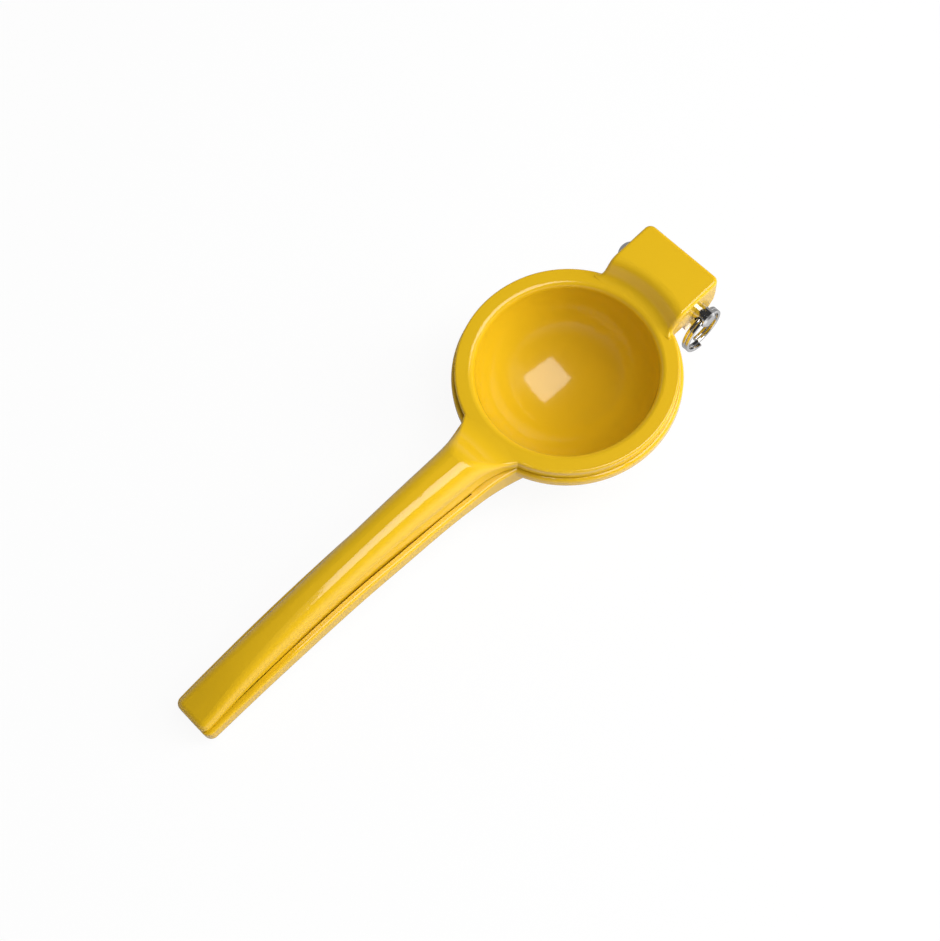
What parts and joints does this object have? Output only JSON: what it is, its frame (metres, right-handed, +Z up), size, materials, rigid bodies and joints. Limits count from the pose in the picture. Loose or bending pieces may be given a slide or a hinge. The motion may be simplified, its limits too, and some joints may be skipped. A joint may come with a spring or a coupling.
{
  "type": "hinged lemon squeezer",
  "caption": "Hand-held citrus press: a hollow press bowl on one handle closes into a drained cup on the other about a hinge pin that carries a split ring.",
  "frame": {"origin": "on the floor, below the middle of the shut tool", "axes": "+X from the handle tips towards the hinge, +Y along the hinge pin towards its head, +Z up, with the tool lying on its cup and on the tip of the lower handle"},
  "size_m": [0.2108, 0.0744, 0.0469],
  "materials": {
    "press_enamel": "glossy yellow enamel",
    "cup_enamel": "glossy yellow enamel",
    "pin_steel": "bright plated",
    "ring_steel": "bright plated"
  },
  "bodies": {
    "cup_arm": {"cup_arm": "cup_enamel", "hinge_pin": "pin_steel"},
    "press_arm": {"press_arm": "press_enamel"},
    "split_ring": {"split_ring": "ring_steel"}
  },
  "joints": [
    {"name": "arm_hinge", "type": "hinge", "parent": "cup_arm", "child": "press_arm", "pos_m": [0.09669, 0, 0.03743], "axis": [0, 1, 0], "range_deg": [0, 120]},
    {"name": "ring_swing", "type": "hinge", "parent": "cup_arm", "child": "split_ring", "pos_m": [0.09669, -0.0182, 0.03743], "axis": [-1, 0, 0], "range_deg": [-3, 100]}
  ]
}
